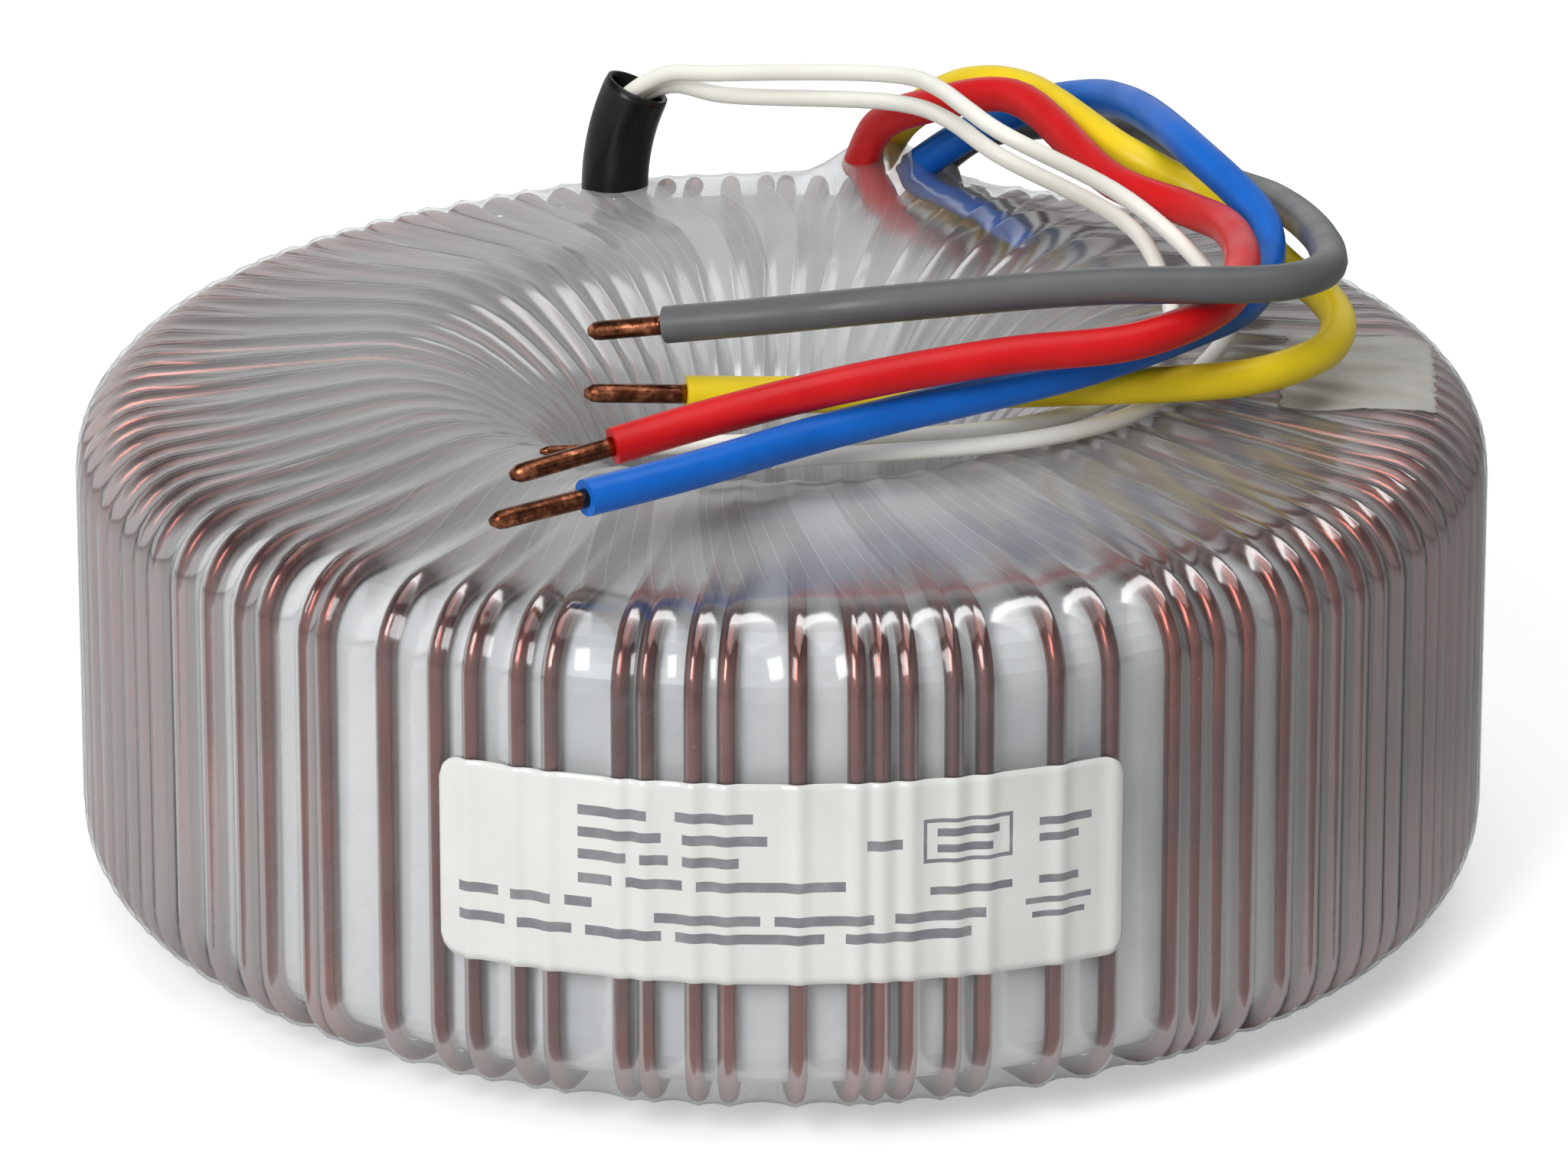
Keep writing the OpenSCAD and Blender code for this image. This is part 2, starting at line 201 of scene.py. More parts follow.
def calc(nt, op, a, b=None):
    """A maths node on one or two values, each a number or another node's output."""
    n = node(nt, "ShaderNodeMath", operation=op)
    for i, v in enumerate((a, b)):
        if v is None:
            continue
        if isinstance(v, (int, float)):
            n.inputs[i].default_value = v
        else:
            nt.links.new(v, n.inputs[i])
    return n.outputs[0]


def blend(nt, factor, first, second):
    """Mix of two shaders; the factor is a number or another node's output."""
    mix = node(nt, "ShaderNodeMixShader")
    if isinstance(factor, (int, float)):
        mix.inputs[0].default_value = factor
    else:
        nt.links.new(factor, mix.inputs[0])
    nt.links.new(first.outputs[0], mix.inputs[1])
    nt.links.new(second.outputs[0], mix.inputs[2])
    return mix


def finish_material(m, nt, shader):
    out = node(nt, "ShaderNodeOutputMaterial")
    nt.links.new(shader.outputs[0], out.inputs["Surface"])
    return m


def plastic(name, base, dark, rough=0.38):
    """Extruded sleeving or moulded plastic: faint mottling, fine grain, soft gloss."""
    m, nt = material(name)
    b = node(nt, "ShaderNodeBsdfPrincipled")
    col = ramp(nt, noise(nt, 90.0, 4.0, 0.6), [(0.3, dark), (0.65, base)])
    nt.links.new(col, b.inputs["Base Color"])
    rg = ramp(nt, noise(nt, 160.0, 3.0), [(0.3, grey(rough - 0.06)), (0.7, grey(rough + 0.08))])
    nt.links.new(rg, b.inputs["Roughness"])
    nt.links.new(bump(nt, noise(nt, 2600.0, 2.0), 0.25, 0.00006), b.inputs["Normal"])
    b.inputs["Specular IOR Level"].default_value = 0.28
    return finish_material(m, nt, b)


def enamel(name, dark, light, rough):
    """Wire enamel: brown over metal, with a thin glossy coat."""
    m, nt = material(name)
    b = node(nt, "ShaderNodeBsdfPrincipled", Metallic=0.8)
    col = ramp(nt, noise(nt, 45.0, 3.0, 0.55), [(0.32, dark), (0.68, light)])
    nt.links.new(col, b.inputs["Base Color"])
    rg = ramp(nt, noise(nt, 220.0, 2.0), [(0.3, grey(rough - 0.05)), (0.7, grey(rough + 0.08))])
    nt.links.new(rg, b.inputs["Roughness"])
    nt.links.new(bump(nt, noise(nt, 900.0, 2.0), 0.2, 0.00005), b.inputs["Normal"])
    b.inputs["Coat Weight"].default_value = 0.12
    b.inputs["Coat Roughness"].default_value = 0.22
    return finish_material(m, nt, b)


def copper(name):
    """Bare drawn copper, browned with age in patches."""
    m, nt = material(name)
    b = node(nt, "ShaderNodeBsdfPrincipled", Metallic=1.0)
    col = ramp(nt, noise(nt, 420.0, 5.0, 0.65),
               [(0.30, (0.022, 0.009, 0.006)), (0.50, (0.15, 0.05, 0.025)),
                (0.66, (0.50, 0.20, 0.10)), (0.84, (0.86, 0.46, 0.28))])
    nt.links.new(col, b.inputs["Base Color"])
    rg = ramp(nt, noise(nt, 700.0, 3.0), [(0.3, grey(0.18)), (0.7, grey(0.42))])
    nt.links.new(rg, b.inputs["Roughness"])
    nt.links.new(bump(nt, noise(nt, 1500.0, 3.0), 0.5, 0.00008), b.inputs["Normal"])
    return finish_material(m, nt, b)


def milky(name):
    """Film between the windings: milky, with soft bright streaks."""
    m, nt = material(name)
    b = node(nt, "ShaderNodeBsdfPrincipled", Roughness=0.3)
    col = ramp(nt, noise(nt, 32.0, 4.0, 0.6), [(0.3, (0.52, 0.54, 0.55)), (0.7, (0.74, 0.755, 0.75))])
    nt.links.new(col, b.inputs["Base Color"])
    nt.links.new(bump(nt, noise(nt, 140.0, 3.0), 0.4, 0.0003), b.inputs["Normal"])
    return finish_material(m, nt, b)


def clear_film(name):
    """Clear glossy film wound in strips. It reads two values of each point: "wrap" counts the strips
    round the ring, and "layers", from 0 to 1, says how many lie over one another and so how hazy it is."""
    m, nt = material(name)
    wrap = node(nt, "ShaderNodeAttribute", attribute_name="wrap").outputs["Fac"]
    layers = node(nt, "ShaderNodeAttribute", attribute_name="layers").outputs["Fac"]
    phase = calc(nt, "ADD", wrap, calc(nt, "MULTIPLY", noise(nt, 26.0, 2.0), 0.5))
    fine = calc(nt, "MULTIPLY", phase, 2.7)
    # each strip is a little step in the surface, and the whole is slightly wavy
    steps = calc(nt, "ADD", calc(nt, "MULTIPLY", calc(nt, "FRACT", phase), 0.6),
                 calc(nt, "MULTIPLY", calc(nt, "FRACT", fine), 0.35))
    steps = calc(nt, "MULTIPLY", steps, calc(nt, "MINIMUM", calc(nt, "MULTIPLY", layers, 2.0), 1.0))
    height = calc(nt, "ADD", steps, calc(nt, "MULTIPLY", noise(nt, 150.0, 3.0, 0.55), 0.45))
    normal = bump(nt, height, 0.45, 0.0003)
    # haze: a tone of its own for each strip, brighter along the edges
    strip = node(nt, "ShaderNodeTexWhiteNoise", noise_dimensions="1D")
    nt.links.new(calc(nt, "FLOOR", phase), strip.inputs["W"])
    tone = calc(nt, "ADD", 0.82, calc(nt, "MULTIPLY", strip.outputs["Value"], 0.32))
    edge = calc(nt, "GREATER_THAN", calc(nt, "FRACT", fine), 0.955)
    fog = calc(nt, "MULTIPLY", layers, calc(nt, "ADD", tone, calc(nt, "MULTIPLY", edge, 0.38)))
    clear = node(nt, "ShaderNodeBsdfTransparent", Color=(0.94, 0.95, 0.96, 1.0))
    haze = node(nt, "ShaderNodeBsdfDiffuse", Color=(0.47, 0.475, 0.48, 1.0))
    body = blend(nt, fog, clear, haze)
    # gloss: duller where strips lie over one another
    gloss = node(nt, "ShaderNodeBsdfGlossy", Color=(1, 1, 1, 1))
    nt.links.new(calc(nt, "ADD", 0.13, calc(nt, "MULTIPLY", layers, 0.08)), gloss.inputs["Roughness"])
    nt.links.new(normal, gloss.inputs["Normal"])
    fresnel = node(nt, "ShaderNodeFresnel", IOR=1.5)
    nt.links.new(normal, fresnel.inputs["Normal"])
    most = calc(nt, "SUBTRACT", 0.34, calc(nt, "MULTIPLY", layers, 0.26))
    return finish_material(m, nt, blend(nt, calc(nt, "MINIMUM", fresnel.outputs[0], most), body, gloss))


MAT_WIRE = enamel("enamelled_wire", (0.085, 0.019, 0.015), (0.24, 0.056, 0.038), rough=0.20)
MAT_COPPER = copper("bare_copper")
MAT_RED = plastic("red_sleeving", (0.66, 0.008, 0.010), (0.54, 0.005, 0.007))
MAT_BLUE = plastic("blue_sleeving", (0.005, 0.14, 0.60), (0.004, 0.11, 0.49))
MAT_YELLOW = plastic("yellow_sleeving", (0.90, 0.68, 0.018), (0.80, 0.58, 0.012))
MAT_GREY = plastic("grey_sleeving", (0.125, 0.13, 0.132), (0.10, 0.105, 0.108))
MAT_WHITE = plastic("white_sleeving", (0.92, 0.91, 0.84), (0.86, 0.85, 0.77))
MAT_BLACK = plastic("black_sleeve", (0.0045, 0.0045, 0.005), (0.003, 0.003, 0.003), rough=0.3)
MAT_MILKY = milky("milky_film")
MAT_FILM = clear_film("clear_film")

# ---------------------------------------------------------------- leads
# the same points as the source's routes
SEAT = np.array([-20, 61.5, 64.0])  # foot of the sleeve's centre line
LEAN = math.radians(8)  # the white leads leave the sleeve's mouth at this angle to the vertical
ACROSS = np.array([math.cos(LEAN), 0, -math.sin(LEAN)])
MOUTH = np.array([math.sin(LEAN), 0, math.cos(LEAN)])
OUT_OF_SLEEVE = 6 * MOUTH


def in_sleeve(a, b):
    """A point inside the sleeve, a across its mouth and b towards the back."""
    return np.array([-19.71, 61.5, SEAT[2] + 4.175]) + a * ACROSS + np.array([0, b, 0])


ROUTES = {
    "red": [[9.2, 61, 66.8], [11.7, 55.2, 74], [17.5, 47.5, 79], [27, 42, 82], [38.5, 22, 78.2],
            [47, 13, 77.8], [51, 4.5, 78.6], [52, -12.5, 79.6], [48.5, -26.5, 79.6], [39, -35.8, 79.1],
            [25, -40.4, 79.1], [8, -45.6, 77.8], [-6, -50, 75.8], [-18.5, -54.5, 73.6]],
    "blue": [[15.8, 61.8, 66.2], [21.5, 58.7, 71.3], [29.4, 59.2, 74.9], [36.5, 53.8, 78], [41, 44.5, 80.2],
             [47.7, 24, 81.4], [55, 10, 77.9], [55.6, 2.8, 75.9], [52.6, -10.8, 74.8], [45.6, -21.3, 75.1],
             [33.4, -32.4, 74.6], [6.3, -46.9, 72.9], [-11, -61, 72.8], [-21.3, -67.8, 72.5]],
    "yellow": [[11.6, 66.5, 66], [14.8, 61.6, 72.6], [22, 54.5, 79.3], [28.7, 48.7, 80.7], [40, 32, 78.4],
               [49.7, 28, 74], [58.4, 8.6, 72], [62, 2.2, 71.1], [63.4, -5, 70.5], [61.9, -12.7, 70.1],
               [57.5, -18.8, 70.1], [51.2, -22.8, 70], [28.8, -27.6, 70.6], [0.5, -26.9, 69.6],
               [-10.7, -28.3, 70.2]],
    "grey": [[18.6, 66.5, 65.6], [24, 66, 69.5], [38.5, 68.3, 70.3], [43, 66, 70.3], [51, 48, 70],
             [58, 27.5, 73.7], [61.8, -8.5, 80.4], [60.5, -22, 82.5], [55.3, -29, 83.6], [34.4, -32, 84.2],
             [8.8, -33.5, 82.4], [-0.8, -31, 80.5], [-13, -28, 78.3]],
    "white_1": [in_sleeve(-1, -1.2), in_sleeve(-1, -1.2) + OUT_OF_SLEEVE, [-14.5, 58, 79.2], [-8, 53.5, 81],
                [13.4, 37.7, 86], [18.6, 26.6, 87.8], [25, 14.6, 86.8], [40, 13, 79], [48.6, 6.5, 72.9],
                [51.5, -1, 69.6], [42.5, -20.5, 66.6], [29.7, -33.5, 67], [-1, -43, 67.7]],
    "white_2": [in_sleeve(1, 1.2), in_sleeve(1, 1.2) + OUT_OF_SLEEVE, [-13.5, 60.5, 77.2], [-7, 54.5, 78],
                [13.7, 36, 83.1], [19.6, 24.5, 84.7], [25, 17.4, 83], [40.6, 15.5, 74.6], [44, 11.5, 69.8],
                [44.3, 0, 67.5], [36.7, -20.7, 66.8], [24.4, -30.2, 66.8], [-17, -39.4, 67.9]],
}
# diameter of the lead, diameter and length of its bare end, and the two CAD nodes that it stands for
LOOKS = {"red": (4.2, 2.2, 12, MAT_RED, "red_lead", "red_tip"),
         "blue": (4.2, 2.2, 12, MAT_BLUE, "blue_lead", "blue_tip"),
         "yellow": (4.2, 2.2, 11.5, MAT_YELLOW, "yellow_lead", "yellow_tip"),
         "grey": (4.2, 2.2, 9, MAT_GREY, "grey_lead", "grey_tip"),
         "white_1": (2.0, 1.2, 7, MAT_WHITE, "white_lead_1", "white_tip_1"),
         "white_2": (2.0, 1.2, 10, MAT_WHITE, "white_lead_2", "white_tip_2")}
TIP_STEPS, TIP_SIDES = 14, 16
NIPPED = (0.93, 0.45)  # the last two rings of a bare end, as shares of its radius


def lead_curve(name, line, d, mat):
    """A round cord along a line of points."""
    cu = bpy.data.curves.new(name, "CURVE")
    cu.dimensions, cu.bevel_depth, cu.bevel_resolution, cu.use_fill_caps = "3D", d / 2 * MM, 5, True
    sp = cu.splines.new("POLY")
    sp.points.add(len(line) - 1)
    for p, q in zip(sp.points, line):
        p.co = (*(q * MM), 1)
    sp.use_smooth = True
    cu.materials.append(mat)
    return link(bpy.data.objects.new(name, cu))


def bare_end(name, start, towards, d, length):
    """Straight bare wire from the end of a lead, nipped off at its tip."""
    end = start + towards * length
    radii = np.full(TIP_STEPS, d / 2)
    radii[-2:] *= NIPPED
    path = [start + (end - start) * t for t in np.linspace(0, 1, TIP_STEPS)]
    return mesh_piece(name, *tube(path, radii, TIP_SIDES), MAT_COPPER)


for key, route in ROUTES.items():
    d, tip_d, tip_length, mat, cad_lead, cad_tip = LOOKS[key]
    line = spline(route)
    # the curve may swing over its highest point, but not past the top of the CAD box
    line[:, 2] = np.minimum(line[:, 2], cad_box[1][2] / MM - d / 2)
    lead = lead_curve(cad_lead + "_look", line, d, mat)
    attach(lead, "root")
    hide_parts(cad_lead)
    tip = bare_end(cad_tip + "_look", np.array(route[-1]), unit(line[-1] - line[-2]), tip_d, tip_length)
    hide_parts(cad_tip)

# ---------------------------------------------------------------- windings
# sizes and formulas as in the source
body_d, body_h, hole_d, crest_r = 162.0, 65.0, 44.0, 46.0
wire_d, turns, edge_bend, stray, film_t = 2.2, 54, 7.8, 0.33, 0.35
mid = body_h / 2
wire_gap = 0.1  # between the inner ends of the two windings, which lie one over the other
throat_t = 1.1  # gathered film between the hole and the innermost wires
edge_drop = 3  # how far the shoulder's top lies under the crest's
R_wire = body_d / 2 - film_t - wire_d / 2
layer = wire_d + wire_gap
in_a = hole_d / 2 + throat_t + wire_d / 2
spots = turns + 1

# radius of the turns in the hole, height over the middle, bend at the hole, and 0 or 1 for even or odd places
Winding = namedtuple("Winding", "inner_r height bend odd")
A_HEIGHT = mid - film_t - wire_d / 2
WIND_A = Winding(in_a, A_HEIGHT, crest_r - in_a, 0)
WIND_B = Winding(in_a + layer, A_HEIGHT - layer, crest_r - in_a - layer, 1)
bend_z = WIND_A.height - WIND_A.bend
edge_z = mid - film_t - edge_drop - wire_d / 2 - edge_bend

# the wires' places round the outside, in degrees: measured across the front and evenly spread elsewhere;
# the back isn't seen, so that there are 110 of them is an estimate
START, FIRST, ALL = 104.0, 33, 110
FRONT = [213.2, 217.4, 221.6, 224.5, 229.1, 230.9, 237, 241.8, 244.9, 248.9, 251.6, 257.3, 259.3, 263.1, 265.7,
         271.3, 275.9, 277.8, 280, 283.6, 286.1, 292.1, 296.8, 302.6, 304.6, 306.9, 310, 314.1]
LAST = FIRST + len(FRONT) - 1
PLACES = np.array([(0, START)] + [((FIRST + k) / ALL, a) for k, a in enumerate(FRONT)] + [(1, START + 360)])
SPREAD = PLACES[[0, 1, len(FRONT), -1]]
WIRE_STEPS = (7, 3, 10)  # a wire's points on its shoulder, its run and its inner bend
WIRE_SIDES = 12
START_CUT = 4  # points left off the first turn, so that it starts on the shoulder


def place(j):
    """Angle of place j at the outer wall; the evenly spread ones waver a little."""
    t, k = divmod(j, ALL)
    waver = math.sin(rad(k * 77)) + math.sin(rad(k * 131 + 40)) + math.sin(rad(k * 29))
    wild = 0 if FIRST <= k <= LAST else stray * waver
    return 360 * t + float(np.interp(k / ALL, *PLACES.T)) + wild


def outer_a(w, i):
    return place(2 * i + w.odd)


def inner_a(w, i):
    """Angle of turn i in the hole, halfway between its two places at the outer wall."""
    t, k = divmod(2 * i + 1 + w.odd, ALL)
    return 360 * t + float(np.interp(k / ALL, *SPREAD.T))


def at(r, a):
    return np.array([r * math.cos(rad(a)), r * math.sin(rad(a)), 0.0])


def run_slope(bend, s):
    """Slope in degrees of the straight run that touches the outer and the inner bend."""
    dx, dz = s - bend - edge_bend, bend_z - edge_z
    return math.degrees(math.atan2(dz, dx) + math.asin((bend - edge_bend) / math.hypot(dx, dz)))


def half_profile(bend, s, e, shoulder, run, inner):
    """Points (x, z) of the upper half of a turn, at height e over the wire's centre, and where each lies
    along it: 0 to 1 on the shoulder, 1 to 2 on the run and 2 to 3 on the inner bend."""
    a = run_slope(bend, s)
    pts, along = [], []
    for k in range(shoulder + 1):
        b = rad(180 - (90 - a) * k / shoulder)
        pts.append((edge_bend + (edge_bend + e) * math.cos(b), edge_z + (edge_bend + e) * math.sin(b)))
        along.append(k / shoulder)
    p0 = np.array(pts[-1])
    b = rad(90 + a)
    p1 = np.array((s - bend + (bend + e) * math.cos(b), bend_z + (bend + e) * math.sin(b)))
    for k in range(1, run):
        pts.append(tuple(p0 + (p1 - p0) * k / run))
        along.append(1 + k / run)
    for k in range(inner + 1):
        b = rad((90 + a) * (1 - k / inner))
        pts.append((s - bend + (bend + e) * math.cos(b), bend_z + (bend + e) * math.sin(b)))
        along.append(2 + k / inner)
    return np.array(pts), np.array(along)


def half_turn(w, start, q, side):
    """Path of a wire from the outer wall at start to the hole at q, over the top (side 1) or below (-1)."""
    s = np.linalg.norm(q - start)
    d = (q - start) / s
    prof, _ = half_profile(w.bend, s, 0.0, *WIRE_STEPS)
    return [start + d * x + np.array([0, 0, mid + side * z]) for x, z in prof]


def winding(name, w, cad):
    path = []
    for i in range(turns):
        p, q, n = at(R_wire, outer_a(w, i)), at(w.inner_r, inner_a(w, i)), at(R_wire, outer_a(w, i + 1))
        middle = np.array([0, 0, mid])
        path += [p + middle] + half_turn(w, p, q, 1)
        path += ([n + middle] + half_turn(w, n, q, -1))[::-1][:-1]
    # both ends stop at the shoulder, where they go to the leads
    path += half_turn(w, at(R_wire, outer_a(w, turns)), at(w.inner_r, inner_a(w, turns)), 1)[: WIRE_STEPS[0]]
    path = path[START_CUT:]
    obj = mesh_piece(name, *tube(path, np.full(len(path), wire_d / 2), WIRE_SIDES), MAT_WIRE)
    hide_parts(cad)


winding("winding_a_look", WIND_A, "secondary_a")
winding("winding_b_look", WIND_B, "secondary_b")

# ---------------------------------------------------------------- outer film
E_FILM = wire_d / 2 + 0.05 + film_t  # the film's outside over a wire's centre
SH, RUN, IN = 6, 8, 12  # the film's points on the shoulder, the run and the inner bend
SUB = [0.0, 0.1, 0.28, 0.5, 0.72, 0.9]  # stations from one wire's ridge to the next, as shares of the gap
TURN_ON = 2 * len(SUB)  # the lower half of a turn starts one turn, or two ridges, on
SPAN_DIP = 0.13  # how deep the film hangs over winding B, as a share of the distance from A to A
PAIR_DIP, MOST_DIP = 0.15, 1.0  # how deep it dips between two wires that it touches: share of the gap, and limit
TOUCH_STEEP = 7
THROAT_FROM = 2.45  # place along the profile from which gathered film narrows the throat
# raised places: angle and half width round the ring, radius and half width across it, height
TENT = (79, 7.5, 63.5, 8, 7.2)  # over the leads' exit
MOUND = (108, 5.5, 64.5, 6, 2.2)  # at the sleeve's foot
BURIED_FROM, BURIED_TO, BURIED_WIDE = (13, 60), (36, 36), 9.0  # ridge over the lead-ins
SHOWN_FROM, SHOWN_TO, SHOWN_WIDE = (12, 61), (27, 41), 10.5  # clearer film, where the lead-ins show


def film_column(j, side):
    """Foot, direction and span of the film's profile over place j."""
    odd = j % 2
    w = WIND_B if odd else WIND_A
    i = j // 2
    p = at(R_wire, outer_a(w, i))
    q = at(w.inner_r, inner_a(w, i if side > 0 else i - 1))
    s = np.linalg.norm(q - p)
    return p, (q - p) / s, s + (layer if odd else 0)


def columns(cols, e, side):
    """Lines of points over all the places, at height e over the wires' centres."""
    rises = np.array([0, 0, 1.0]) * side
    profiles = [half_profile(WIND_A.bend, c[2], e, SH, RUN, IN)[0] for c in cols]
    return np.array([c[0] + c[1] * pts[:, :1] + rises * pts[:, 1:] for c, pts in zip(cols, profiles)])


def sag_between(ridge, inward, along, side):
    """The film's lines of points, stretched over the ridges and sunk a little between them."""
    n = len(ridge)
    b_below = layer * np.clip(along - 1, 0, 1)  # how far winding B lies below winding A
    crest = np.interp(along, [0.55, 1.0, 2.0, 2.5], [0, 1, 1, 0])
    out = []
    for j in range(n):
        k = (j + 1) % n
        is_a = j % 2 == 0
        a, next_a = (j, (j + 2) % n) if is_a else (k, (k - 2) % n)
        to_next = np.linalg.norm(ridge[j] - ridge[k], axis=1)
        a_to_a = np.linalg.norm(ridge[a] - ridge[next_a], axis=1)
        dip_aa = SPAN_DIP * a_to_a
        dip_ab = np.minimum(PAIR_DIP * to_next, MOST_DIP)
        # 1 where the film comes down onto winding B, 0 where it spans from A to A over it
        touch = 1 / (1 + np.exp((b_below - dip_aa) * TOUCH_STEEP))
        turn_at = math.degrees(math.atan2(ridge[j][0][1], ridge[j][0][0]))
        front = max(hump(turn_at, -82, 42), hump(turn_at, 88, 26, power=4)) if side > 0 else 0.5
        flat = 1 - crest * (0.35 + 0.53 * front)  # pulled tighter over the crest, most at the front and the exit
        for f in SUB:
            g = f if is_a else 1 - f
            hugging = b_below * g + dip_ab * 4 * f * (1 - f)
            bridging = dip_aa * (1 - (1 - g) ** 2)
            depth = touch * hugging + (1 - touch) * bridging
            pos = ridge[j] * (1 - f) + ridge[k] * f
            inn = inward[j] * (1 - f) + inward[k] * f
            out.append(pos + inn * (depth * flat)[:, None])
    return np.array(out)


def narrow_throat(g, along):
    """Gathered film fills the throat up to the hole."""
    grow = np.clip((along - THROAT_FROM) / 0.55, 0, 1) ** 1.5
    r = np.hypot(g[..., 0], g[..., 1])
    scale = (r - (r - (hole_d / 2 + 0.02)) * grow) / r
    g[..., 0] *= scale
    g[..., 1] *= scale


def from_line(x, y, start, end):
    """Where points lie along a line over the crest, from 0 to 1, and how far off it."""
    (x0, y0), (x1, y1) = start, end
    t = ((x - x0) * (x1 - x0) + (y - y0) * (y1 - y0)) / ((x1 - x0) ** 2 + (y1 - y0) ** 2)
    t = np.clip(t, 0, 1)
    return t, np.hypot(x - x0 - t * (x1 - x0), y - y0 - t * (y1 - y0))


def raised(spot, a, r):
    angle, wide, radius, deep, height = spot
    return hump(a, angle, wide, height) * hump(r, radius, deep)


def raise_film(g):
    """The tent over the leads' exit, the mound at the sleeve and the ridge over the buried lead-ins."""
    x, y, z = g[..., 0], g[..., 1], g[..., 2]
    a, r = np.degrees(np.arctan2(y, x)), np.hypot(x, y)
    t, off = from_line(x, y, BURIED_FROM, BURIED_TO)
    buried = (4.2 - 2.4 * t) * hump(off, 0, BURIED_WIDE)
    rise = np.maximum(np.maximum(raised(TENT, a, r), raised(MOUND, a, r)), buried)
    z += rise * (z > 12)  # only well above the middle


def film_points(side):
    """Grid of points: stations round the ring by rings along the profile, for the upper or lower half."""
    cols = [film_column(j, side) for j in range(2 * spots)]
    ridge = columns(cols, E_FILM, side)
    inward = columns(cols, E_FILM - 1.0, side) - ridge
    along = half_profile(WIND_A.bend, cols[0][2], E_FILM, SH, RUN, IN)[1]
    g = sag_between(ridge, inward, along, side)
    narrow_throat(g, along)
    if side > 0:
        raise_film(g)
    g[..., 2] += mid
    g[..., 2] = np.maximum(g[..., 2], 0.0)
    return g, along


def film_layers(verts, step):
    """How hazy the film is at each point: clear on the wall, and more layers over one another towards the
    hole; more at the front and the back of the crest, and less where the buried lead-ins show through."""
    layers = np.interp(np.minimum(step, 6 - step), [0, 0.6, 0.95, 1.15, 1.5, 2.0, 2.6, 3],
                       [0.10, 0.05, 0.05, 0.26, 0.44, 0.56, 0.64, 0.68])
    around = (np.degrees(np.arctan2(verts[:, 1], verts[:, 0])) + 360) % 360
    wide = np.maximum(hump(around, 270, 36, power=4), hump(around, 90, 32, power=4))
    on_crest = (step > 0.9) & (step < 3)
    layers = np.where(on_crest, np.minimum(layers * (1 + 0.55 * wide), 0.9), layers)
    _, off = from_line(verts[:, 0], verts[:, 1], SHOWN_FROM, SHOWN_TO)
    near = hump(off, 0, SHOWN_WIDE, power=4) * (verts[:, 2] > 55)  # on the upper side only
    return layers * (1 - 0.74 * near)


def film_piece():
    up, along = film_points(1)
    lo, _ = film_points(-1)
    lo = np.roll(lo, -TURN_ON, axis=0)
    n_st, n_pr = up.shape[:2]
    rings = [up[:, k] for k in range(n_pr)] + [lo[:, k] for k in range(n_pr - 1, -1, -1)]
    verts = np.vstack(rings)
    faces = []
    total = len(rings)
    for k in range(total):
        k1 = (k + 1) % total
        shift = TURN_ON if k1 == 0 else 0
        for h in range(n_st):
            h1 = (h + 1) % n_st
            faces.append((k * n_st + h, k1 * n_st + (h + shift) % n_st, k1 * n_st + (h1 + shift) % n_st,
                          k * n_st + h1))
    ang = np.degrees(np.arctan2(verts[:, 1], verts[:, 0]))
    step = np.concatenate([[x] * n_st for x in list(along) + [6 - x for x in along[::-1]]])
    wrap = ang / 360 * 61 + step * 0.9  # 61 strips round the ring, each laid at a slant
    obj = mesh_piece("film_look", verts, faces, MAT_FILM, {"wrap": wrap, "layers": film_layers(verts, step)})
    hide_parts("film_wrap")
    return obj


FILM = film_piece()

# ---------------------------------------------------------------- sleeve
SLEEVE_BEND = 30  # radius of its centre line
SLEEVE_CENTRE = SEAT + np.array([SLEEVE_BEND, 0, 0])
SLEEVE_R, SLEEVE_LIP, SLEEVE_BORE_LIP, SLEEVE_BORE = 4.0, 3.9, 3.45, 3.3
SLEEVE_FOOT, SLEEVE_MOUTH, SLEEVE_FLOOR = 180, 155, 172  # places on the bend, in degrees
SLEEVE_STEPS, SLEEVE_SIDES = 14, 40


def sleeve_line(a0, a1):
    """Points of the centre line from one place on the bend to another."""
    out = []
    for k in range(SLEEVE_STEPS + 1):
        a = rad(a0 + (a1 - a0) * k / SLEEVE_STEPS)
        out.append(SLEEVE_CENTRE + np.array([SLEEVE_BEND * math.cos(a), 0, SLEEVE_BEND * math.sin(a)]))
    return out


def sleeve():
    """Up the outside, over the rounded lip and down the bore to its floor."""
    path = sleeve_line(SLEEVE_FOOT, SLEEVE_MOUTH) + sleeve_line(SLEEVE_MOUTH, SLEEVE_FLOOR)
    radii = [SLEEVE_R] * SLEEVE_STEPS + [SLEEVE_LIP, SLEEVE_BORE_LIP] + [SLEEVE_BORE] * SLEEVE_STEPS
    ang = circle(SLEEVE_SIDES)
    verts = []
    for p, r in zip(path, radii):
        d = unit(p - SLEEVE_CENTRE)
        verts.append(p + r * (np.cos(ang)[:, None] * d + np.sin(ang)[:, None] * np.array([0, 1.0, 0])))
    faces = loft_faces(len(path), SLEEVE_SIDES, clockwise=True)
    obj = mesh_piece("sleeve_look", np.vstack(verts), faces, MAT_BLACK)
    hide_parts("lead_sleeve")


sleeve()

